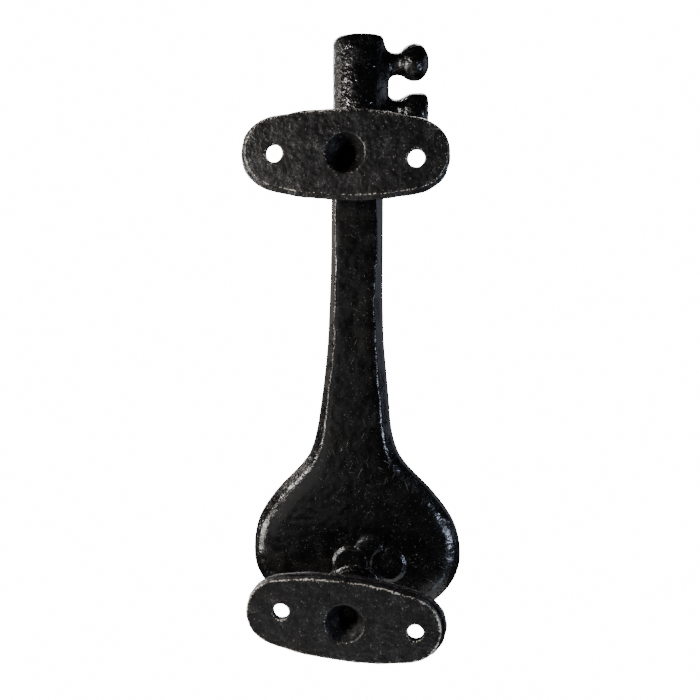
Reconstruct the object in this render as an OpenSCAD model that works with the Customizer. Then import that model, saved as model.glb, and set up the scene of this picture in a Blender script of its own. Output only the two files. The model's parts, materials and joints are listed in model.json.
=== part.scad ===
// Shutter holdback: a paddle-and-neck arm carried clear of the wall on two swivelling oval feet.
// Millimetres. +Z runs up the arm to its head and +Y points at the wall.
// The origin is where the upper foot's post axis meets its wall face.

/* [Feet] */
// Distance between the two post axes
post_spacing = 155; // [140:1:170]
// Length of a foot's wall face
foot_len = 65; // [60:0.5:70]
// Height of a foot's wall face
foot_h = 26.8; // [25:0.2:28]
// Radius of the round ends of a foot's wall face
foot_end_r = 11; // [9:0.5:12]
// Thickness of a foot's plate
foot_t = 3; // [2.5:0.5:4]
// How far the front half of a plate's rim stands proud of the wall face's outline
lip_grow = 0.9; // [0.5:0.1:1.2]
// Thickness of the proud front half of the rim
lip_t = 1.8; // [1:0.1:2]
// Diameter of a wall screw hole
screw_hole_d = 5.7; // [4.5:0.1:6.5]
// Distance between a foot's two wall screw holes
screw_hole_spacing = 45.6; // [42:0.2:48]
// Turn of the upper foot as assembled, degrees
upper_foot_turn = 2.4; // [-5:0.1:10]
// Turn of the lower foot as assembled, degrees
lower_foot_turn = 6.3; // [-5:0.1:10]

/* [Posts] */
// Distance from the wall to the flat back of the arm
standoff = 31; // [26:0.5:40]
// Post diameter where it leaves the plate
post_root_d = 18; // [17:0.5:20]
// Post diameter where it meets the arm
post_tip_d = 15.6; // [14:0.2:16]
// Mouth diameter of the conical recess in the wall face
recess_d = 12.9; // [11:0.1:13.5]
// Depth of the conical recess
recess_depth = 7.8; // [6:0.2:9]

/* [Arm screws] */
// Diameter of the screw that joins the arm to a post
screw_d = 4.6; // [4:0.1:5]
// Radial clearance between a screw and the arm
screw_clearance = 0.05; // [0.02:0.01:0.1]
// Diameter of the countersunk screw head
screw_head_d = 9.2; // [8:0.1:9.4]
// Depth of the upper screw's end below the wall face
upper_screw_end = 17; // [12:0.5:20]
// Depth of the lower screw's end below the wall face
lower_screw_end = 9.5; // [9:0.5:15]

/* [Arm] */
// Height of the head's top above the upper post axis
head_top = 43.6; // [40:0.2:48]
// Diameter of the rounded head
head_d = 19.2; // [18:0.2:20]
// Sideways offset of the head's axis
head_x = -1.1; // [-1.5:0.1:0]
// Half of the paddle's width
paddle_half_w = 37.9; // [37:0.1:39]
// Depth of the paddle below its widest level
paddle_drop = 28; // [26:0.5:32]
// Width of the sloping band around the arm's flat back
flank = 2.5; // [2:0.1:3]
// Depth of the sloping band
flank_t = 3; // [2:0.5:4]
// Thickness of the arm's core, between the back band and the front crown
core_t = 4.5; // [4:0.5:6]
// Thickness of the front crown
crown_t = 3.5; // [2:0.5:4]

/* [Ball studs] */
// Height of the upper ball stud above the upper post axis
ball_top_z = 34.6; // [33:0.2:36]
// Distance between the two ball studs
ball_spacing = 17; // [17:0.1:18]
// Ball diameter
ball_d = 12.6; // [12:0.1:12.8]
// Ball length along the stud, flat end included
ball_len = 9.4; // [8:0.1:10]
// Stem diameter
stem_d = 7.2; // [6:0.1:7.4]

/* [Hidden] */
$fn = 96;
eps = 0.01;

// Depths along -Y, the wall face being 0
boss_h = 2.5;
post_end = standoff - boss_h;
seat_gap = 0.05;
lobe_h = 2;
core_near = standoff + flank_t;
core_far = core_near + core_t;
arm_far = core_far + crown_t;
arm_hole_r = screw_d / 2 + screw_clearance;
head_cone_h = (screw_head_d - screw_d) / 2;
head_gap = 0.1;
head_dome_h = 0.9;
upper_boss_r = post_tip_d / 2 + 0.6;
lower_boss_r = post_tip_d / 2 + 2;

// A foot's casting offsets, local to its post axis: wall face, proud rim, wall screw holes
upper_face_at = [0, 0.1];
upper_rim_at = [0.5, -0.6];
upper_holes_at = [0.15, -1.0];
lower_face_at = [0, 1.0];
lower_rim_at = [-0.5, 2.0];
lower_holes_at = [-1.1, 0.9];

// Arm half outline: height and half width, joined by a smooth curve from the neck to the paddle
paddle_z = -140.5;
OUTLINE = [[14, 8.8], [-13, 8.9], [-43, 9.1], [-65, 9.95], [-86, 11.9], [-96, 13.25], [-104, 15.7],
           [-109, 19.1], [-118, 27.6], [-127, 34.4], [paddle_z, paddle_half_w]];
curve_steps = 6;
bow_fn = 360;
ellipse_steps = 24;
crown_inset = 3.6;

// How far joined shapes of the arm reach into each other, and how far its bosses flare
join = 1;

// Raised lobes beside the lower post: place from the post axis, and radius
LOBES = [[1.8, 10.4, 5.9], [-12.2, 9.9, 5.9]];

head_y = -(standoff + 6.5);
head_r = head_d / 2;
head_foot_z = 9.5;
head_crown_r = 3.5;
ball_y = head_y - 0.5;
head_root_drop = 5;
head_root_taper = 4;
ball_near_x = 15;
ball_root = 0.8;
ball_flat_r = 3.2;
ball_fullness = 0.85;
ball_steps = 16;
stem_root_x = 4;
stem_flare = 2.6;
stem_flare_sink = 0.8;
slot_w = 1.2;
slot_depth = 1.5;

// Slope of the outline at station i, level at both ends
function slope(i) = (i == 0 || i == len(OUTLINE) - 1) ? 0 :
    (OUTLINE[i + 1][1] - OUTLINE[i - 1][1]) / (OUTLINE[i + 1][0] - OUTLINE[i - 1][0]);

// Cubic between stations i and i + 1, at fraction t
function between(i, t) =
    let (a = OUTLINE[i], b = OUTLINE[i + 1], dz = b[0] - a[0])
    [(1 - t) * a[0] + t * b[0],
     (2 * t^3 - 3 * t^2 + 1) * a[1] + (t^3 - 2 * t^2 + t) * dz * slope(i)
     + (3 * t^2 - 2 * t^3) * b[1] + (t^3 - t^2) * dz * slope(i + 1)];

// Right half of the outline as [x, z], from the neck down to the paddle's lowest point
function side_points() = concat(
    [for (i = [0:len(OUTLINE) - 2], s = [0:curve_steps - 1])
        let (p = between(i, s / curve_steps)) [p[1], p[0]]],
    [for (s = [0:ellipse_steps])
        let (a = 90 * s / ellipse_steps) [paddle_half_w * cos(a), paddle_z - paddle_drop * sin(a)]]);

// The same points moved inwards along their normals
function inset_points(points, inset) = [for (i = [0:len(points) - 1])
    let (a = points[max(i - 1, 0)], b = points[min(i + 1, len(points) - 1)],
         d = (b - a) / norm(b - a), p = points[i] + inset * [d[1], -d[0]])
    i == len(points) - 1 ? [0, points[i][1] + inset] : [max(p[0], 0), p[1]]];

// Flat slab of the arm's outline between two depths
module arm_slab(inset, near, far) {
    half = inset_points(side_points(), inset);
    last = len(half) - 1;
    left = [for (i = [1:last]) [-half[last - i][0], half[last - i][1]]];
    translate([0, -near, 0])
        rotate([90, 0, 0])
            linear_extrude(far - near)
                polygon(concat(half, left));
}

// Round bar along the depth, between two depths
module bar(x, z, r_near, r_far, near, far) {
    translate([x, -near, z])
        rotate([90, 0, 0])
            cylinder(h = far - near, r1 = r_near, r2 = r_far);
}

// Oval with round ends and bowed long sides
module oval(len_x, len_y, end_r) {
    b = len_y / 2;
    c = len_x / 2 - end_r;
    side_r = (c^2 + b^2 - end_r^2) / (2 * (b - end_r));
    touch_x = c * side_r / (side_r - end_r);
    for (s = [-1, 1])
        translate([s * c, 0])
            circle(end_r);
    intersection() {
        side_circle(side_r, b, -1);
        side_circle(side_r, b, 1);
        square([2 * touch_x, 2 * len_y], center = true);
    }
}

// One of the two large circles that bow an oval's long sides
module side_circle(side_r, b, s) {
    translate([0, s * (side_r - b)])
        circle(side_r, $fn = bow_fn);
}

// Foot casting about its own post axis: oval plate, hollow post, conical recess, screw holes
module foot(face_at, rim_at, holes_at) {
    difference() {
        union() {
            plate_layer(foot_len, foot_h, foot_end_r, face_at, 0, foot_t);
            plate_layer(foot_len + 2 * lip_grow, foot_h + 2 * lip_grow, foot_end_r + lip_grow,
                        rim_at, foot_t - lip_t, foot_t);
            bar(0, 0, post_root_d / 2, post_tip_d / 2, foot_t - eps, post_end - seat_gap);
        }
        bar(0, 0, recess_d / 2, screw_d / 2, 0, recess_depth);
        bar(0, 0, screw_d / 2, screw_d / 2, recess_depth - eps, post_end);
        for (s = [-1, 1])
            bar(holes_at[0] + s * screw_hole_spacing / 2, holes_at[1],
                screw_hole_d / 2, screw_hole_d / 2, -eps, foot_t + eps);
    }
}

// One layer of a foot's plate
module plate_layer(len_x, len_y, end_r, at, near, far) {
    translate([at[0], -near, at[1]])
        rotate([90, 0, 0])
            linear_extrude(far - near)
                oval(len_x, len_y, end_r);
}

// Ball stud along -X, cast with the arm: flared stem, then a ball with a flat end
module ball_stud(z) {
    stem_r = stem_d / 2;
    flare_x = head_r - head_x - stem_flare_sink;
    ball = [for (s = [0:ball_steps])
        let (a = 180 * s / ball_steps)
        [max(ball_d / 2 * sin(a)^ball_fullness, a < 90 ? 0 : ball_flat_r * (a - 90) / 90),
         ball_near_x + ball_len * (1 - cos(a)) / 2]];
    translate([0, ball_y, z])
        rotate([0, -90, 0])
            rotate_extrude()
                polygon(concat(
                    [[0, stem_root_x], [stem_r + stem_flare, stem_root_x]],
                    [for (a = [0:30:90]) [stem_r + stem_flare * (1 - sin(a)),
                                          flare_x + stem_flare * (1 - cos(a))]],
                    [[stem_r, ball_near_x + ball_root]],
                    [for (p = ball) if (p[0] > stem_r || p[1] > ball_near_x + ball_len / 2) p],
                    [[0, ball_near_x + ball_len]]));
}

// Rounded head at the top of the arm
module head() {
    top = head_top - head_crown_r;
    translate([head_x, head_y, 0])
        rotate_extrude()
            polygon(concat(
                [[0, head_foot_z - head_root_drop],
                 [head_r - head_root_taper, head_foot_z - head_root_drop],
                 [head_r, head_foot_z]],
                [for (a = [0:15:90]) [head_r - head_crown_r + head_crown_r * cos(a),
                                      top + head_crown_r * sin(a)]],
                [[0, head_top]]));
}

module holdback_arm() {
    color("#1c1b1c")
        difference() {
            union() {
                arm_slab(flank, standoff, core_near + join);
                arm_slab(0, core_near, core_far);
                arm_slab(crown_inset, core_far - join, arm_far);
                head();
                for (i = [0, 1])
                    ball_stud(ball_top_z - i * ball_spacing);
                bar(0, 0, upper_boss_r, upper_boss_r, post_end, core_near + join);
                bar(0, -post_spacing, lower_boss_r, lower_boss_r + join, post_end, standoff + join);
                for (lobe = LOBES)
                    bar(lobe[0], lobe[1] - post_spacing, lobe[2] - join, lobe[2],
                        standoff - lobe_h, standoff + join);
            }
            for (z = [0, -post_spacing]) {
                bar(0, z, arm_hole_r, arm_hole_r, post_end - join, arm_far + join);
                bar(0, z, arm_hole_r, screw_head_d / 2 + head_gap,
                    arm_far - head_cone_h - head_gap, arm_far + eps);
            }
        }
}

module upper_foot() {
    color("#232122")
        rotate([0, -upper_foot_turn, 0])
            foot(upper_face_at, upper_rim_at, upper_holes_at);
}

module lower_foot() {
    color("#232122")
        translate([0, 0, -post_spacing])
            rotate([0, -lower_foot_turn, 0])
                foot(lower_face_at, lower_rim_at, lower_holes_at);
}

// Slotted countersunk machine screw, driven from the front through the arm into a post
module arm_screw(z, end_depth) {
    head_near = arm_far - head_cone_h;
    dome_r = (screw_head_d^2 / 4 + head_dome_h^2) / (2 * head_dome_h);
    color("#2b2928")
        difference() {
            union() {
                bar(0, z, screw_d / 2, screw_d / 2, end_depth, arm_far);
                bar(0, z, screw_d / 2, screw_head_d / 2, head_near, arm_far);
                intersection() {
                    translate([0, -(arm_far + head_dome_h - dome_r), z])
                        sphere(dome_r);
                    bar(0, z, screw_head_d / 2, screw_head_d / 2, arm_far - eps, arm_far + 2 * head_dome_h);
                }
            }
            translate([-screw_head_d, -arm_far - 2 * head_dome_h, z - slot_w / 2])
                cube([2 * screw_head_d, slot_depth + head_dome_h, slot_w]);
        }
}

module upper_arm_screw() {
    arm_screw(0, upper_screw_end);
}

module lower_arm_screw() {
    arm_screw(-post_spacing, lower_screw_end);
}

holdback_arm();
upper_foot();
lower_foot();
upper_arm_screw();
lower_arm_screw();
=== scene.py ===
import json
import math

import bpy
import numpy as np
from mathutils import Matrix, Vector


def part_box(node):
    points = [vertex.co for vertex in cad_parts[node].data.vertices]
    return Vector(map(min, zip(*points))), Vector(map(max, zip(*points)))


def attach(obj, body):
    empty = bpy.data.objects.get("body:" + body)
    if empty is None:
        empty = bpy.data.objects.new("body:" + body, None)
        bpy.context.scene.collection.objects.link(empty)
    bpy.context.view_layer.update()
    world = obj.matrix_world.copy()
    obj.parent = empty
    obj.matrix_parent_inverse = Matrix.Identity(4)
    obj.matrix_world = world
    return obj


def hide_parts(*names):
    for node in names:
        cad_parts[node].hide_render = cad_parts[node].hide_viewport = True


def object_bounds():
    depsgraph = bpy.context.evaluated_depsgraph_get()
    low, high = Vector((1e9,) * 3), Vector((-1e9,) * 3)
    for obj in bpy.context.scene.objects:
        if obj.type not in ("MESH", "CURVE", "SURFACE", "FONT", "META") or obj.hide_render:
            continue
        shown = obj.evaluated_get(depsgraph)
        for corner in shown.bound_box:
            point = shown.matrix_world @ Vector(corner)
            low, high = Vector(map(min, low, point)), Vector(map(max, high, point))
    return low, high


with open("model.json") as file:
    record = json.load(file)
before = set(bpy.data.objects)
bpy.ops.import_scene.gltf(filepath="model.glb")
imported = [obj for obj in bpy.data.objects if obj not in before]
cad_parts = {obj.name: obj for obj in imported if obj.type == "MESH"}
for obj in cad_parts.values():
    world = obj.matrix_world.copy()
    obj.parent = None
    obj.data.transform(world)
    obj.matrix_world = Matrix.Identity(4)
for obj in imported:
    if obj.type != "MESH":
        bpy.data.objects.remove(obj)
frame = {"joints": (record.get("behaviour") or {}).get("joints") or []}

import openvdb
from mathutils import Matrix, Vector, noise

# The shapes are worked out in millimetres as (x, depth, z), where depth runs along -Y from the wall,
# as fields that are negative inside the metal. Meshes are made from them in metres.
CAD_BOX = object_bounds()
MM = 0.001


def joint_axis(name):
    """The place of a joint's axis as (x, z), in millimetres."""
    joint = next(j for j in frame["joints"] if j["name"] == name)
    return joint["pos_m"][0] / MM, joint["pos_m"][2] / MM


UPPER_POST = joint_axis("arm_swivel")
LOWER_POST = joint_axis("lower_foot_swivel")


def depth_span(node):
    """Nearest and farthest depth of a CAD node from the wall, in millimetres."""
    low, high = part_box(node)
    return -high.y / MM, -low.y / MM


# Sizes of the castings and screws. Depths are from the wall.
PLATE_T = 3.0
POST_ROOT_R = 9.0
POST_TIP_R = 7.8
POST_END = depth_span("upper_foot")[1]
RECESS_DEPTH = 7.8
POST_HOLE_R = 2.3
WALL_HOLE_R = 2.75
WALL_HOLE_SPACING = 45.6
ARM_BACK = 31.0
WIDEST_DEPTH = 34.6
ARM_FRONT = 42.0
SCREW_HEAD_R = 4.6
SCREW_HOLE_R = 2.35
# The screw head's countersunk seat: how much wider than the head it is, and its depth
SEAT_CLEARANCE = 0.1
SEAT_DEPTH = 2.4


# ---------------------------------------------------------------- field helpers

def smooth_min(a, b, blend):
    """Union of two fields with a fillet about as wide as blend."""
    near = np.maximum(blend - np.abs(a - b), 0) / blend
    return np.minimum(a, b) - near * near * blend / 4


def smooth_max(a, b, blend):
    """Intersection of two fields with a rounded edge about as wide as blend."""
    return -smooth_min(-a, -b, blend)


def smooth_step(low, high, value):
    """Smooth change from 0 to 1 as the value goes from low to high, either of which may be larger."""
    t = np.clip((value - low) / (high - low), 0, 1)
    return t * t * (3 - 2 * t)


def waves(t, *terms):
    """Sum of sine waves, each given as (height, wavelength, phase)."""
    return sum(height * np.sin(2 * math.pi * t / length + phase) for height, length, phase in terms)


def smooth_curve(stations, at):
    """Cubic curve through (place, value) stations, level at both ends."""
    places = np.array([s[0] for s in stations], float)
    values = np.array([s[1] for s in stations], float)
    order = np.argsort(places)
    places, values = places[order], values[order]
    slopes = np.zeros(len(places))
    slopes[1:-1] = (values[2:] - values[:-2]) / (places[2:] - places[:-2])
    at = np.clip(at, places[0], places[-1])
    i = np.clip(np.searchsorted(places, at) - 1, 0, len(places) - 2)
    span = places[i + 1] - places[i]
    t = (at - places[i]) / span
    return ((2 * t**3 - 3 * t**2 + 1) * values[i] + (t**3 - 2 * t**2 + t) * span * slopes[i]
            + (3 * t**2 - 2 * t**3) * values[i + 1] + (t**3 - t**2) * span * slopes[i + 1])


def outline_distance(points, xs, zs):
    """Signed distance from a closed outline, negative inside, on the grid of xs and zs."""
    points = np.asarray(points, float)
    x, z = np.meshgrid(xs, zs, indexing="ij")
    nearest = np.full(x.shape, 1e9)
    inside = np.zeros(x.shape, bool)
    for (ax, az), (bx, bz) in zip(points, np.roll(points, -1, axis=0)):
        ex, ez = bx - ax, bz - az
        t = np.clip(((x - ax) * ex + (z - az) * ez) / max(ex * ex + ez * ez, 1e-12), 0, 1)
        nearest = np.minimum(nearest, (x - ax - t * ex) ** 2 + (z - az - t * ez) ** 2)
        if az != bz:
            inside ^= ((az > z) != (bz > z)) & (x < ax + (z - az) * ex / ez)
    return np.where(inside, -1, 1) * np.sqrt(nearest)


def grid_axes(low, high, step):
    """The grid's x, depth and z, ready to combine into fields."""
    x, d, z = (np.arange(a, b + step, step, dtype=np.float32) for a, b in zip(low, high))
    return x[:, None, None], d[None, :, None], z[None, None, :]


def capped_bar(radial, along, near, far, radius, edge):
    """Round bar between two depths, with rounded edges."""
    return smooth_max(radial - radius, np.maximum(near - along, along - far), edge)


# ---------------------------------------------------------------- from field to mesh

def blurred(volume, reach):
    """Box blur over reach cells each way, along all three axes."""
    for axis in range(3):
        pad = [(0, 0)] * 3
        pad[axis] = (reach + 1, reach)
        total = np.cumsum(np.pad(volume, pad, mode="edge"), axis=axis)
        size = volume.shape[axis]
        upper = np.take(total, range(2 * reach + 1, 2 * reach + 1 + size), axis=axis)
        lower = np.take(total, range(size), axis=axis)
        volume = (upper - lower) / (2 * reach + 1)
    return volume


def sample(volume, places):
    """Values of a volume at places given in cells, by linear interpolation."""
    top = np.array(volume.shape) - 2
    cell = np.clip(np.floor(places).astype(int), 0, top)
    t = np.clip(places - cell, 0, 1)
    result = 0
    for corner in range(8):
        step = np.array([corner & 1, corner >> 1 & 1, corner >> 2 & 1])
        weight = np.prod(np.where(step == 1, t, 1 - t), axis=1)
        i, j, k = (cell + step).T
        result = result + weight * volume[i, j, k]
    return result


def casting(name, field, low, step, edge_reach, roughness, scuffs=(), smooth_below=None,
            sheltered_beyond=None):
    """Mesh of a field, with cast roughness in its shape, and values for how sharp, scuffed and coarse
    it is. Each scuff is (x, z, radius). Faces lower than smooth_below are smooth away from their edges
    and shoulders, and edges deeper than sheltered_beyond are less rubbed, all in millimetres."""
    grid = openvdb.FloatGrid(float(field.max()))
    grid.copyFromArray(np.ascontiguousarray(field, dtype=np.float32))
    points, _, quads = grid.convertToPolygons(0.0, 0.0)
    solid = blurred(np.clip(0.5 - field / step, 0, 1), max(1, round(edge_reach / step)))
    edge = 1 - 2 * sample(solid, points)
    x, d, z = (points * step + np.array(low)).T
    corners = np.stack([x, -d, z], axis=1) * MM
    mesh = bpy.data.meshes.new(name)
    mesh.from_pydata(corners.tolist(), [], quads.tolist())
    mesh.update()
    place = corners[quads]
    normals = np.cross(place[:, 2] - place[:, 0], place[:, 3] - place[:, 1])
    if np.einsum("ij,ij->", normals, place.mean(axis=1)) < 0:
        mesh.flip_normals()
    mesh.shade_smooth()
    scuffed = sum((np.exp(-((x - sx)**2 + (z - sz)**2) / radius**2) for sx, sz, radius in scuffs),
                  np.zeros(len(x)))
    coarse = np.ones(len(x))
    if smooth_below is not None:
        facing = np.zeros(len(x) * 3)
        mesh.vertices.foreach_get("normal", facing)
        shoulder = smooth_step(0.5, 0.7, facing[1::3]) * smooth_step(0.99, 0.95, facing[1::3])
        smooth = smooth_step(0.45, 0.2, edge) * (1 - 0.6 * shoulder)
        coarse -= 0.9 * smooth_step(3, -3, z - smooth_below) * smooth
    if sheltered_beyond is not None:
        edge = edge * (1 - 0.6 * smooth_step(0, 0.6, d - sheltered_beyond))
    for kind, values in (("edge", edge), ("scuff", scuffed), ("coarse", coarse)):
        values = values.astype(np.float32)
        mesh.attributes.new(kind, "FLOAT", "POINT").data.foreach_set("value", values)
    roughen(mesh, roughness, 0.3 + 0.7 * coarse)
    piece = bpy.data.objects.new(name, mesh)
    bpy.context.scene.collection.objects.link(piece)
    return piece


def roughen(mesh, layers, share):
    """Moves each point along its normal by layers of noise, each given as (height, size), in mm, and
    by each point's own share of that."""
    count = len(mesh.vertices)
    places, normals = np.zeros(count * 3), np.zeros(count * 3)
    mesh.vertices.foreach_get("co", places)
    mesh.vertices.foreach_get("normal", normals)
    places, normals = places.reshape(-1, 3), normals.reshape(-1, 3)
    lift = np.zeros(count)
    for height, size in layers:
        scaled = (places / (size * MM)).tolist()
        lift += height * MM * np.array([noise.noise(Vector(p)) for p in scaled])
    mesh.vertices.foreach_set("co", (places + normals * (lift * share)[:, None]).ravel())
    mesh.update()


# ---------------------------------------------------------------- the arm

# Half width and sideways shift of the arm's outline at each height, from the neck to the paddle
HALF_WIDTH = [(14, 9.1), (-13, 9.2), (-29, 9.25), (-43, 9.4), (-55, 9.77), (-65, 10.25), (-76, 11.3),
              (-86, 12.4), (-96, 13.7), (-104, 16.1), (-109, 19.5), (-118, 28.2), (-127, 34.8),
              (-134, 37.4), (-142, 38.2)]
SHIFT = [(14, 0.0), (-30, 0.1), (-50, 0.35), (-80, 0.5), (-98, 0.9), (-117, 0.5), (-135, 0.1),
         (-143, 0.1), (-150, 0.3), (-170, 0.3)]
NECK_TOP = 14
PADDLE_Z = -142
PADDLE_DROP = 26.3
# Width of the sloping band between the flat back and the widest edge, at each height
BAND_WIDTH = [(10, 1.9), (-30, 1.9), (-58, 2.5), (-91, 2.9), (-113, 3.2), (-136, 2.9), (-170, 2.9)]
# How far the back rolls off towards its crease, at each height
ROLL_OFF = [(-60, 0.12), (-98, 0.35), (-118, 1.1), (-170, 1.3)]

# A shallow dent in the band, on the side of the ball studs: its depth, height and half length
DENT_DEPTH = 0.45
DENT_Z = -52
DENT_REACH = 7

# Head, and its cut on the side of the ball studs: how far in from the side at the top, and its lean
HEAD_X = -0.95
HEAD_DEPTH = 37.5
HEAD_R = 9.85
HEAD_TOP = 43.3
HEAD_FOOT = 4.0
HEAD_CUT = 1.9
HEAD_LEAN = math.radians(13)
BALL_DEPTH = 38.0
BALL_X = -19.9
BALL_INNER_LENGTH = 5.5
BALL_OUTER_LENGTH = 4.9
BALL_R = 6.35
# Each ball stud's height, its stem's drop and radius, and how squarely its outer end is cut
BALL_STUDS = [(34.6, 0.45, 3.9, 2.1), (17.75, -0.1, 4.1, 5.0)]
# Bosses that the posts' tips meet, and how far bosses, lobes and rib are rooted in the arm's back
BOSSES = [(UPPER_POST, 8.4), (LOWER_POST, 9.2)]
ROOT_DEPTH = 3
# Raised lobes above the lower post: place from the post's axis, and radius
LOBES = [(1.8, 10.2, 5.9), (-12.2, 10.4, 5.9)]
LOBE_HEIGHT = 0.9
# Low swelling that joins the lobes: half width and half height, its own height, and its rise over them
RIB_HALF = (4.5, 5.5)
RIB_HEIGHT = 0.6
RIB_RISE = 4
# Places that are scuffed by handling: x, z and radius
ARM_SCUFFS = [(0, -104, 13), (9, -100, 7), (6, -30, 6), (-1, -52, 5), (-14, -112, 9)]


def arm_outline():
    """Closed outline of the neck and paddle."""
    neck_z = np.linspace(NECK_TOP, PADDLE_Z, 140)
    right = smooth_curve(HALF_WIDTH, neck_z)
    turn = np.linspace(0, math.pi / 2, 60)[1:]
    side_z = np.concatenate([neck_z, PADDLE_Z - PADDLE_DROP * np.sin(turn)])
    half = np.concatenate([right, HALF_WIDTH[-1][1] * np.cos(turn)])
    shift = smooth_curve(SHIFT, side_z)
    one_side = np.stack([shift + half, side_z], axis=1)
    other_side = np.stack([shift - half, side_z], axis=1)[::-1][1:]
    return np.concatenate([one_side, other_side])


def slab_field(x, d, z):
    """Neck and paddle: flat back that rolls off to a crease, sloping band, crowned front."""
    rim = outline_distance(arm_outline(), x.ravel(), z.ravel())[:, None, :].astype(np.float32)
    side = np.sign(x)
    wobble = waves(z + 11 * side, (0.16, 31, 0.4), (0.10, 12.5, 2.0), (0.05, 6.1, 1.0))
    dent = DENT_DEPTH * np.exp(-((z - DENT_Z) / DENT_REACH) ** 2) * (x < 0)
    band = smooth_curve(BAND_WIDTH, z) + wobble + dent
    inner = np.maximum(-rim - band, 0)
    reach = 2.0 + 4.0 * smooth_step(-95, -118, z)
    roll_off = smooth_curve(ROLL_OFF, z)
    roll = roll_off * np.maximum(1 - inner / reach, 0) ** 2
    slope = 2 * roll / np.maximum(reach - inner, 0.5)
    back = (ARM_BACK + roll - d) / np.sqrt(1 + slope**2)
    band_depth = WIDEST_DEPTH - ARM_BACK - roll_off
    long = np.sqrt(band**2 + band_depth**2)
    flank = ((rim + band) * band_depth - (d - ARM_BACK - roll_off) * band) / long
    body = smooth_max(back, flank, 0.5)
    body = smooth_max(body, rim, 0.6)
    return smooth_max(body, d - ARM_FRONT, 6.0)


def head_field(x, d, z):
    """Upright round head, cut slanting on the side of the ball studs."""
    radial = np.hypot(x - HEAD_X, d - HEAD_DEPTH) - HEAD_R
    ends = np.maximum(z - HEAD_TOP, HEAD_FOOT - z)
    body = smooth_max(radial, ends, 3.0)
    cut_x = HEAD_X - HEAD_R + HEAD_CUT
    cut = -(x - cut_x) * math.cos(HEAD_LEAN) + (z - HEAD_TOP) * math.sin(HEAD_LEAN)
    return smooth_max(body, cut, 1.0)


def ball_stud_field(x, d, z, height, drop, stem_r, squareness):
    """Ball with a flattened outer end on a round stem, reaching out of the head along -X."""
    radial = np.hypot(d - BALL_DEPTH, z - height)
    outer = x < BALL_X
    length = np.where(outer, BALL_OUTER_LENGTH, BALL_INNER_LENGTH)
    power = np.where(outer, squareness, 2.3)
    along = np.abs(x - BALL_X) / length
    ball = ((along**power + (radial / BALL_R) ** power) ** (1 / power) - 1) * length
    stem = np.hypot(d - BALL_DEPTH, z - height + drop) - stem_r
    stem = np.maximum(stem, np.maximum(x - HEAD_X, BALL_X - x))
    return smooth_min(ball, stem, 1.4)


def arm_field(x, d, z):
    """The whole arm casting, with its two countersunk screw holes."""
    body = smooth_min(slab_field(x, d, z), head_field(x, d, z), 2.0)
    for stud in BALL_STUDS:
        body = smooth_min(body, ball_stud_field(x, d, z, *stud), 2.8)
    root = ARM_BACK + ROOT_DEPTH
    for (px, pz), boss_r in BOSSES:
        radial = np.hypot(x - px, z - pz)
        boss = capped_bar(radial, d, POST_END, root, boss_r, 0.8)
        body = smooth_min(body, boss, 2.5)
    px, pz = LOWER_POST
    for lobe_x, lobe_z, lobe_r in LOBES:
        radial = np.hypot(x - px - lobe_x, z - pz - lobe_z)
        lobe = capped_bar(radial, d, ARM_BACK - LOBE_HEIGHT, root, lobe_r, 0.9)
        body = smooth_min(body, lobe, 0.7)
    rib_x = px + (LOBES[0][0] + LOBES[1][0]) / 2
    rib_z = pz + LOBES[0][1] + RIB_RISE
    rib = np.hypot((x - rib_x) / RIB_HALF[0], (z - rib_z) / RIB_HALF[1])
    rib = smooth_max((rib - 1) * RIB_HALF[0], ARM_BACK - RIB_HEIGHT - d, 1.5)
    body = smooth_min(body, np.maximum(rib, d - root), 1.5)
    for px, pz in (UPPER_POST, LOWER_POST):
        radial = np.hypot(x - px, z - pz)
        body = smooth_max(body, SCREW_HOLE_R - radial, 0.3)
        seat = SCREW_HEAD_R + SEAT_CLEARANCE - radial + (d - ARM_FRONT)
        seat = np.maximum(-seat, -(d - ARM_FRONT + SEAT_DEPTH)) / math.sqrt(2)
        body = smooth_max(body, -seat, 0.3)
    return body


# ---------------------------------------------------------------- the feet

# Each foot's turn about its post and its casting's own offsets: how far its outlines are turned from
# its holes, its wall face, its proud rim and its wall screw holes, and the cone's mouth
FEET = {
    "upper_foot": {"post": UPPER_POST, "turn": 2.4, "skew": -1.1, "face": (0.0, 0.0), "grown": 0.15,
                   "rim": (0.35, -0.55), "holes": (0.15, -1.0), "groove": 0.25, "mouth_r": 6.4},
    "lower_foot": {"post": LOWER_POST, "turn": 6.3, "skew": -1.3, "face": (0.75, 0.75), "grown": 0.6,
                   "rim": (-0.3, 1.9), "holes": (-1.0, 0.7), "groove": 0.7, "mouth_r": 6.7},
}
FACE_LENGTH = 65.0
FACE_HEIGHT = 26.8
FACE_END_R = 11.0
# The proud rim layer's extra size, and the depth at which it starts
RIM_GROWTH = 1.1
RIM_NEAR = 1.1


def oval_outline(growth, centre, turn):
    """A foot's oval, with round ends and bowed long sides, grown, moved and turned by some degrees."""
    length, height, end_r = FACE_LENGTH + 2 * growth, FACE_HEIGHT + 2 * growth, FACE_END_R + growth
    half_height = height / 2
    reach = length / 2 - end_r
    side_r = (reach**2 + half_height**2 - end_r**2) / (2 * (half_height - end_r))
    end_turn = math.atan2(side_r - half_height, reach)
    end = np.linspace(-end_turn, end_turn, 48)
    side = np.linspace(math.pi / 2 - math.atan2(reach, side_r - half_height),
                       math.pi / 2 + math.atan2(reach, side_r - half_height), 60)[1:-1]
    right_end = np.stack([reach + end_r * np.cos(end), end_r * np.sin(end)], axis=1)
    top_side = np.stack([side_r * np.cos(side), half_height - side_r + side_r * np.sin(side)], axis=1)
    points = np.concatenate([right_end, top_side, -right_end, -top_side])
    cosine, sine = math.cos(math.radians(turn)), math.sin(math.radians(turn))
    return points @ np.array([[cosine, sine], [-sine, cosine]]) + np.array(centre)


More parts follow.
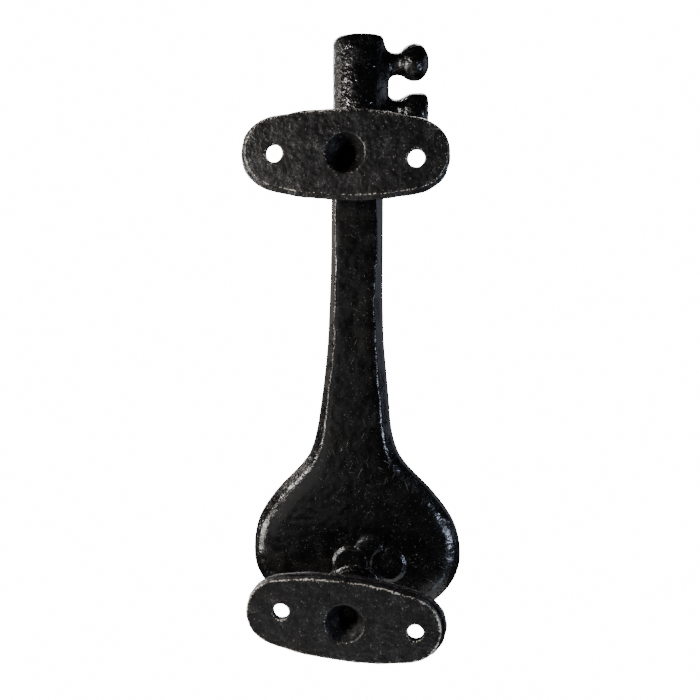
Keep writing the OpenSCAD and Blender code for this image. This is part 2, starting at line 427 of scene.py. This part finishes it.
def foot_field(x, d, z, foot):
    """A foot about its own post axis: two-layer oval plate, flared post, cone and holes."""
    face, rim = (
        outline_distance(oval_outline(growth, centre, foot["skew"]), x.ravel(), z.ravel())
        [:, None, :].astype(np.float32)
        for growth, centre in ((foot["grown"], foot["face"]), (RIM_GROWTH, foot["rim"])))
    wear = waves(x, (0.10, 23, 0.5), (0.06, 9.1, 1.3)) + waves(z, (0.08, 14, 2.2), (0.05, 5.3, 0.1))
    face_layer = smooth_max(face + wear, np.maximum(-d, d - PLATE_T), 0.6)
    rim_layer = smooth_max(rim + wear, np.maximum(RIM_NEAR + 0.1 - d, d - PLATE_T), 0.9)
    groove = np.hypot(face - 0.25, d - RIM_NEAR) - foot["groove"]
    plate = smooth_max(smooth_min(face_layer, rim_layer, 0.25), -groove, 0.25)
    radial = np.hypot(x, z)
    along = (d - PLATE_T) / (POST_END - PLATE_T)
    post_r = POST_ROOT_R + (POST_TIP_R - POST_ROOT_R) * along
    post = smooth_max(radial - post_r, np.maximum(1 - d, d - POST_END), 0.8)
    body = smooth_min(plate, post, 4.5)
    mouth_r = foot["mouth_r"]
    cone_r = mouth_r + (POST_HOLE_R - mouth_r) * d / RECESS_DEPTH
    cone_slope = math.hypot(RECESS_DEPTH, mouth_r - POST_HOLE_R) / RECESS_DEPTH
    hollow = np.minimum(smooth_max((radial - cone_r) / cone_slope, d - RECESS_DEPTH, 0.3),
                        radial - POST_HOLE_R)
    body = smooth_max(body, -hollow, 0.4)
    for side in (-1, 1):
        hole = np.hypot(x - foot["holes"][0] - side * WALL_HOLE_SPACING / 2, z - foot["holes"][1])
        body = smooth_max(body, np.minimum(WALL_HOLE_R - hole, PLATE_T + 1 - d), 0.2)
    return smooth_max(body, -d, 0.1)


def place_foot(piece, foot):
    """Turns a foot's mesh about its post axis and sets it at its post."""
    px, pz = foot["post"]
    turn = Matrix.Rotation(math.radians(-foot["turn"]), 4, "Y")
    piece.data.transform(Matrix.Translation((px * MM, 0, pz * MM)) @ turn)


# ---------------------------------------------------------------- the arm screws

# Thread, slot and domed head
THREAD_PITCH = 0.8
THREAD_DEPTH = 0.32
SCREW_SLOT_W = 1.2
SCREW_SLOT_DEPTH = 1.5
SCREW_DOME = 0.9


def screw_field(x, d, z, near):
    """Slotted countersunk machine screw, threaded up to the arm."""
    radial = np.hypot(x, z)
    turn = np.arctan2(z, x) / (2 * math.pi)
    tooth = np.abs((d / THREAD_PITCH + turn) % 1 - 0.5) * 2
    thread_r = POST_HOLE_R - THREAD_DEPTH * tooth
    shank_r = np.where(d < ARM_BACK, thread_r, POST_HOLE_R)
    shank = smooth_max(radial - shank_r, np.maximum(near - d, d - ARM_FRONT), 0.5)
    cone = (radial - SCREW_HEAD_R + (ARM_FRONT - d)) / math.sqrt(2)
    dome_r = (SCREW_HEAD_R**2 + SCREW_DOME**2) / (2 * SCREW_DOME)
    dome = np.hypot(radial, d - (ARM_FRONT + SCREW_DOME - dome_r)) - dome_r
    head = smooth_max(smooth_max(cone, dome, 0.3), ARM_FRONT - SCREW_HEAD_R - d, 0.3)
    slot = np.maximum(np.abs(z) - SCREW_SLOT_W / 2, ARM_FRONT - SCREW_SLOT_DEPTH - d)
    return smooth_max(smooth_min(shank, head, 0.3), -slot, 0.15)


# ---------------------------------------------------------------- materials

class Shader:
    """A material's node tree, built one node at a time."""

    def __init__(self, name):
        self.material = bpy.data.materials.new(name)
        self.material.use_nodes = True
        self.tree = self.material.node_tree
        self.tree.nodes.clear()

    def add(self, kind, inputs=None, out=0, **settings):
        """Adds a node, links or sets its inputs, and returns one of its outputs."""
        node = self.tree.nodes.new(kind)
        for key, value in settings.items():
            setattr(node, key, value)
        for key, value in (inputs or {}).items():
            socket = node.inputs[key]
            if isinstance(value, bpy.types.NodeSocket):
                self.tree.links.new(value, socket)
            else:
                socket.default_value = value
        return node.outputs[out]

    def millimetres(self, stretch=(1, 1, 1), turn=(0, 0, 0)):
        """The piece's own coordinates in millimetres, turned and stretched for streaks."""
        here = self.add("ShaderNodeTexCoord", out="Object")
        turned = self.add("ShaderNodeMapping", {"Vector": here, "Rotation": turn})
        scale = tuple(s / MM for s in stretch)
        return self.add("ShaderNodeMapping", {"Vector": turned, "Scale": scale})

    def noise(self, where, size, detail=2.0, roughness=0.5):
        """Noise from 0 to 1 with features of a given size in millimetres."""
        return self.add("ShaderNodeTexNoise", {"Vector": where, "Scale": 1 / size, "Detail": detail,
                                               "Roughness": roughness})

    def ramp(self, value, low, high, to_low=0.0, to_high=1.0):
        """Smooth change from to_low to to_high as the value goes from low to high."""
        return self.add("ShaderNodeMapRange", {"Value": value, "From Min": low, "From Max": high,
                                               "To Min": to_low, "To Max": to_high},
                        interpolation_type="SMOOTHSTEP")

    def math(self, operation, a, b=0.0, clamp=False):
        """Result of a math node's operation on a and b."""
        return self.add("ShaderNodeMath", {0: a, 1: b}, operation=operation, use_clamp=clamp)

    def wander(self, where, size):
        """Noise vector of a given size in millimetres, for bending other patterns."""
        node = self.tree.nodes.new("ShaderNodeTexNoise")
        node.inputs["Scale"].default_value = 1 / size
        self.tree.links.new(where, node.inputs["Vector"])
        return node.outputs["Color"]

    def flecks_and_glints(self, where, spacing, share, spread):
        """Small separate spots, in a share of cells of a given spacing, thicker where spread is high."""
        cells = self.tree.nodes.new("ShaderNodeTexVoronoi")
        cells.inputs["Scale"].default_value = 1 / spacing
        self.tree.links.new(where, cells.inputs["Vector"])
        chance = self.add("ShaderNodeSeparateColor", {"Color": cells.outputs["Color"]})
        chance = self.math("ADD", chance, spread)
        size = self.ramp(chance, 1 - share, 1.05, 0.0, 0.36)
        return self.ramp(self.math("SUBTRACT", size, cells.outputs["Distance"]), 0.0, 0.1)

    def mix(self, amount, a, b):
        """Colour between a and b."""
        node = self.tree.nodes.new("ShaderNodeMix")
        node.data_type = "RGBA"
        for socket, value in ((node.inputs[0], amount), (node.inputs[6], a), (node.inputs[7], b)):
            if isinstance(value, bpy.types.NodeSocket):
                self.tree.links.new(value, socket)
            elif socket.type == "RGBA":
                socket.default_value = (*value, 1.0)
            else:
                socket.default_value = value
        return node.outputs[2]

    def finish(self, colour, rough, normal, **constants):
        """Joins the surface up, with other inputs of it as constants, and returns the material."""
        inputs = {"Base Color": colour, "Roughness": rough, "Normal": normal}
        inputs.update({key.replace("_", " "): value for key, value in constants.items()})
        surface = self.add("ShaderNodeBsdfPrincipled", inputs)
        output = self.tree.nodes.new("ShaderNodeOutputMaterial")
        self.tree.links.new(surface, output.inputs["Surface"])
        return self.material


def enamelled_casting(name, tints, grain, dust, flecks_and_glints, wear, rough, scratches):
    """Black enamel over a sand casting: lumps and grain, pale dust, painted fill light in hollows, pale
    flecks that are partly painted glints, worn edges, scratches.
    """
    s = Shader(name)
    here = s.millimetres()
    edge = s.add("ShaderNodeAttribute", out="Fac", attribute_name="edge")
    scuff = s.add("ShaderNodeAttribute", out="Fac", attribute_name="scuff")
    coarse = s.add("ShaderNodeAttribute", out="Fac", attribute_name="coarse")
    cloud = s.noise(here, 14.0, 3.0)
    patch = s.noise(here, 5.0, 3.0, 0.6)
    lumps = s.noise(here, 1.3, 2.0, 0.5)
    fine = s.noise(here, 0.6, 1.0, 0.5)
    colour = s.mix(s.ramp(cloud, 0.35, 0.65), tints[0], tints[1])
    spread = s.math("MULTIPLY", s.math("SUBTRACT", patch, 0.5), 0.35)
    drift = s.math("MULTIPLY", s.math("SUBTRACT", patch, 0.5), 0.9)
    dusty = s.ramp(s.math("ADD", fine, drift), dust["from"], dust["from"] + 0.2, 0.0, dust["amount"])
    dusty = s.math("MULTIPLY", dusty, coarse)
    colour = s.mix(dusty, colour, dust["colour"])
    # Pale dust colour laid into concave hollows: painted fill light that lightens shaded recesses such as
    # the cone walls.
    hollow = s.ramp(s.math("ADD", edge, s.math("MULTIPLY", fine, 0.2)), -0.05, -0.3, 0.0, dust["painted_hollow_light"])
    colour = s.mix(hollow, colour, dust["colour"])
    # Pale flecks: partly real specks in the enamel, partly painted glints standing in for light caught by
    # the bumpy gloss.
    bent = s.add("ShaderNodeVectorMath", {0: here, 1: s.wander(here, 0.5)}, operation="ADD")
    fleck_and_glint_spots = s.flecks_and_glints(bent, flecks_and_glints["spacing"], flecks_and_glints["share"], spread)
    fleck_and_glint_spots = s.math("MULTIPLY", fleck_and_glint_spots, flecks_and_glints["amount"])
    colour = s.mix(fleck_and_glint_spots, colour, flecks_and_glints["colour"])
    worn = s.math("ADD", edge, s.math("MULTIPLY", s.math("SUBTRACT", patch, 0.5), 0.5))
    worn = s.math("ADD", worn, s.math("MULTIPLY", s.math("SUBTRACT", fine, 0.5), 0.9))
    worn = s.ramp(worn, wear["from"], wear["from"] + 0.2, 0.0, wear["amount"])
    colour = s.mix(worn, colour, wear["colour"])
    lines = 0.0
    for index in range(scratches["layers"]):
        turn = (0.0, 0.4 + 2.39996 * index, 0.0)
        streak = s.millimetres(stretch=(1 / 0.2, 1.0, 1 / scratches["length"]), turn=turn)
        streak = s.add("ShaderNodeTexNoise", {"Vector": streak, "Scale": 1.0, "Detail": 0.0})
        streak = s.ramp(streak, scratches["from"], scratches["from"] + 0.05)
        where = s.math("ADD", s.noise(here, 9.0 + 2 * index, 1.0), s.math("MULTIPLY", scuff, 0.25))
        lines = s.math("MAXIMUM", lines, s.math("MULTIPLY", streak, s.ramp(where, 0.55, 0.68)))
    lines = s.math("MULTIPLY", lines, scratches["amount"])
    colour = s.mix(lines, colour, scratches["colour"])
    pale = s.math("MAXIMUM", s.math("MAXIMUM", dusty, fleck_and_glint_spots), worn)
    gloss = s.ramp(patch, 0.3, 0.7, rough[0], rough[1])
    gloss = s.math("ADD", gloss, s.math("MULTIPLY", pale, 0.3), clamp=True)
    height = s.math("ADD", s.math("MULTIPLY", lumps, grain["lumps"]),
                    s.math("MULTIPLY", fine, grain["fine"]))
    height = s.math("MULTIPLY", height, coarse)
    height = s.math("SUBTRACT", height, s.math("MULTIPLY", lines, 0.04))
    normal = s.add("ShaderNodeBump", {"Height": height, "Strength": 1.0, "Distance": MM})
    return s.finish(colour, gloss, normal)


def screw_steel():
    """Blackened steel with turning marks and rubbed edges."""
    s = Shader("screw_steel")
    here = s.millimetres()
    edge = s.add("ShaderNodeAttribute", out="Fac", attribute_name="edge")
    rub = s.noise(here, 0.8, 3.0, 0.6)
    marks = s.noise(s.millimetres(stretch=(0.4, 8.0, 0.4)), 1.0, 2.0)
    worn = s.ramp(s.math("ADD", edge, s.math("MULTIPLY", rub, 0.5)), 0.35, 0.75)
    colour = s.mix(worn, (0.035, 0.031, 0.029), (0.30, 0.27, 0.24))
    height = s.math("MULTIPLY", marks, 0.02)
    normal = s.add("ShaderNodeBump", {"Height": height, "Strength": 1.0, "Distance": MM})
    return s.finish(colour, s.ramp(rub, 0.3, 0.7, 0.3, 0.5), normal, Metallic=0.85)


# ---------------------------------------------------------------- making the pieces

# Each grid's lowest and highest corner, and its cell
ARM_GRID = (-40.5, 26.5, -170.0), (40.5, 50.0, 46.0), 0.5
FOOT_GRID = (-35.0, -1.0, -17.0), (35.0, 30.0, 18.0), 0.35
SCREW_REACH = 5.2
SCREW_CELL = 0.16


def make_arm():
    """The arm casting in glossy black enamel."""
    low, high, step = ARM_GRID
    field = arm_field(*grid_axes(low, high, step))
    piece = casting("arm_casting", field, low, step, 1.2, [(0.12, 6.0), (0.12, 2.2)], ARM_SCUFFS,
                    smooth_below=UPPER_POST[1] + 6)
    piece.data.materials.append(enamelled_casting(
        "arm_enamel", tints=((0.0012, 0.0012, 0.0016), (0.0026, 0.0022, 0.0021)),
        grain={"lumps": 0.34, "fine": 0.03},
        dust={"from": 0.56, "amount": 0.08, "painted_hollow_light": 0.0, "colour": (0.10, 0.10, 0.10)},
        flecks_and_glints={"spacing": 0.5, "share": 0.36, "amount": 0.28, "colour": (0.30, 0.29, 0.28)},
        wear={"from": 0.38, "amount": 0.4, "colour": (0.16, 0.15, 0.14)},
        rough=(0.16, 0.30),
        scratches={"layers": 3, "length": 7.0, "from": 0.77, "amount": 0.4,
                   "colour": (0.22, 0.21, 0.20)}))
    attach(piece, "arm")
    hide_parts("holdback_arm")


def make_foot(name, enamel):
    """One foot, worked out about its own post and then set at its place."""
    low, high, step = FOOT_GRID
    foot = FEET[name]
    field = foot_field(*grid_axes(low, high, step), foot)
    piece = casting(name + "_casting", field, low, step, 0.9, [(0.10, 5.0), (0.10, 1.6)],
                    sheltered_beyond=0.8)
    place_foot(piece, foot)
    piece.data.materials.append(enamel)
    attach(piece, name)
    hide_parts(name)


def make_screw(name, body, post, steel):
    """One arm screw, as deep in its post as the CAD screw."""
    near = depth_span(name)[0]
    low = (-SCREW_REACH, near - 0.6, -SCREW_REACH)
    high = (SCREW_REACH, ARM_FRONT + 1.6, SCREW_REACH)
    field = screw_field(*grid_axes(low, high, SCREW_CELL), near)
    piece = casting(name + "_steel", field, low, SCREW_CELL, 0.35, [])
    piece.data.transform(Matrix.Translation((post[0] * MM, 0, post[1] * MM)))
    piece.data.materials.append(steel)
    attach(piece, body)
    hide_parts(name)


def make_object():
    """The arm, the two feet and their screws."""
    make_arm()
    enamel = enamelled_casting(
        "foot_enamel", tints=((0.0028, 0.0028, 0.0034), (0.0060, 0.0052, 0.0050)),
        grain={"lumps": 0.24, "fine": 0.07},
        dust={"from": 0.56, "amount": 0.22, "painted_hollow_light": 0.4, "colour": (0.12, 0.118, 0.115)},
        flecks_and_glints={"spacing": 0.65, "share": 0.42, "amount": 0.45, "colour": (0.34, 0.32, 0.30)},
        wear={"from": 0.33, "amount": 0.9, "colour": (0.60, 0.55, 0.47)},
        rough=(0.32, 0.46),
        scratches={"layers": 2, "length": 8.0, "from": 0.80, "amount": 0.3,
                   "colour": (0.26, 0.24, 0.23)})
    steel = screw_steel()
    for name in FEET:
        make_foot(name, enamel)
    make_screw("upper_arm_screw", "upper_foot", UPPER_POST, steel)
    make_screw("lower_arm_screw", "lower_foot", LOWER_POST, steel)


# ---------------------------------------------------------------- camera, lights and floor

CAMERA_AT = (-0.0376, 0.2984, -0.0304)
CAMERA_FORWARD = (0.1185, -0.9871, -0.1073)
CAMERA_ROLL = math.radians(0.1)
LENS = 48.09
SENSOR = 36.0

# Area lights: name, place, size, watts and colour
LIGHTS = [
    ("window_left", (0.175, 0.30, -0.11), 0.24, 0.12, (1.0, 0.98, 0.96)),
    ("warm_left", (0.19, 0.12, -0.01), 0.06, 0.72, (1.0, 0.96, 0.92)),
    ("warm_edge", (0.40, -0.05, 0.06), 0.07, 0.22, (1.0, 0.95, 0.90)),
    ("warm_low_left", (0.30, 0.10, -0.16), 0.08, 0.7, (1.0, 0.95, 0.90)),
    ("warm_flank", (0.34, -0.24, 0.04), 0.30, 0.2, (1.0, 0.92, 0.84)),
    ("cool_right", (-0.276, 0.176, -0.15), 0.06, 0.55, (0.68, 0.78, 1.0)),
    ("cool_flank", (-0.40, -0.20, 0.0), 0.34, 0.3, (0.76, 0.82, 1.0)),
    ("cool_low", (-0.09, 0.06, -0.235), 0.02, 0.009, (0.60, 0.74, 1.0)),
    ("front_soft", (0.10, -0.50, 0.25), 0.40, 5.0, (1.0, 1.0, 1.0)),
]
# Strengths of the even light on the object and of the white that the camera sees behind it
EVEN_LIGHT = 0.03
BACKDROP = 16.0
FLOOR_R = 0.12
FLOOR_AT = (0, 0.02, CAD_BOX[0].z - 0.085)


def make_camera():
    """The camera, on the wall side of the object."""
    data = bpy.data.cameras.new("camera")
    data.lens = LENS
    data.sensor_width = SENSOR
    data.clip_start = 0.01
    camera = bpy.data.objects.new("camera", data)
    aim = Vector(CAMERA_FORWARD).to_track_quat("-Z", "Y").to_matrix().to_4x4()
    camera.matrix_world = Matrix.Translation(CAMERA_AT) @ aim @ Matrix.Rotation(CAMERA_ROLL, 4, "Z")
    bpy.context.scene.collection.objects.link(camera)
    bpy.context.scene.camera = camera


def add_light(name, at, size, watts, colour):
    """Square area light aimed at the middle of the object."""
    data = bpy.data.lights.new(name, "AREA")
    data.size = size
    data.energy = watts
    data.color = colour
    light = bpy.data.objects.new(name, data)
    middle = (CAD_BOX[0] + CAD_BOX[1]) / 2
    light.matrix_world = (Matrix.Translation(at)
                          @ (middle - Vector(at)).to_track_quat("-Z", "Y").to_matrix().to_4x4())
    bpy.context.scene.collection.objects.link(light)


def make_world():
    """White behind the object, and a dim even light on it."""
    world = bpy.data.worlds.new("studio")
    world.use_nodes = True
    tree = world.node_tree
    tree.nodes.clear()
    path = tree.nodes.new("ShaderNodeLightPath")
    dim, white = tree.nodes.new("ShaderNodeBackground"), tree.nodes.new("ShaderNodeBackground")
    for node, strength in ((dim, EVEN_LIGHT), (white, BACKDROP)):
        node.inputs["Color"].default_value = (1.0, 1.0, 1.0, 1.0)
        node.inputs["Strength"].default_value = strength
    mix, output = tree.nodes.new("ShaderNodeMixShader"), tree.nodes.new("ShaderNodeOutputWorld")
    tree.links.new(path.outputs["Is Camera Ray"], mix.inputs[0])
    tree.links.new(dim.outputs[0], mix.inputs[1])
    tree.links.new(white.outputs[0], mix.inputs[2])
    tree.links.new(mix.outputs[0], output.inputs["Surface"])
    bpy.context.scene.world = world


def make_floor():
    """Plain pale floor disc below the object."""
    bpy.ops.mesh.primitive_circle_add(vertices=96, radius=FLOOR_R, fill_type="NGON",
                                      location=FLOOR_AT)
    floor = bpy.context.object
    floor.name = "floor"
    s = Shader("pale_floor")
    here = s.millimetres()
    tone = s.ramp(s.noise(here, 25.0, 2.0), 0.3, 0.7, 0.0, 1.0)
    colour = s.mix(tone, (0.82, 0.82, 0.81), (0.86, 0.86, 0.85))
    normal = s.add("ShaderNodeBump", {"Height": s.noise(here, 1.0), "Strength": 0.1, "Distance": MM})
    floor.data.materials.append(s.finish(colour, s.ramp(tone, 0, 1, 0.6, 0.7), normal))


make_object()
make_camera()
make_world()
for light in LIGHTS:
    add_light(*light)
make_floor()
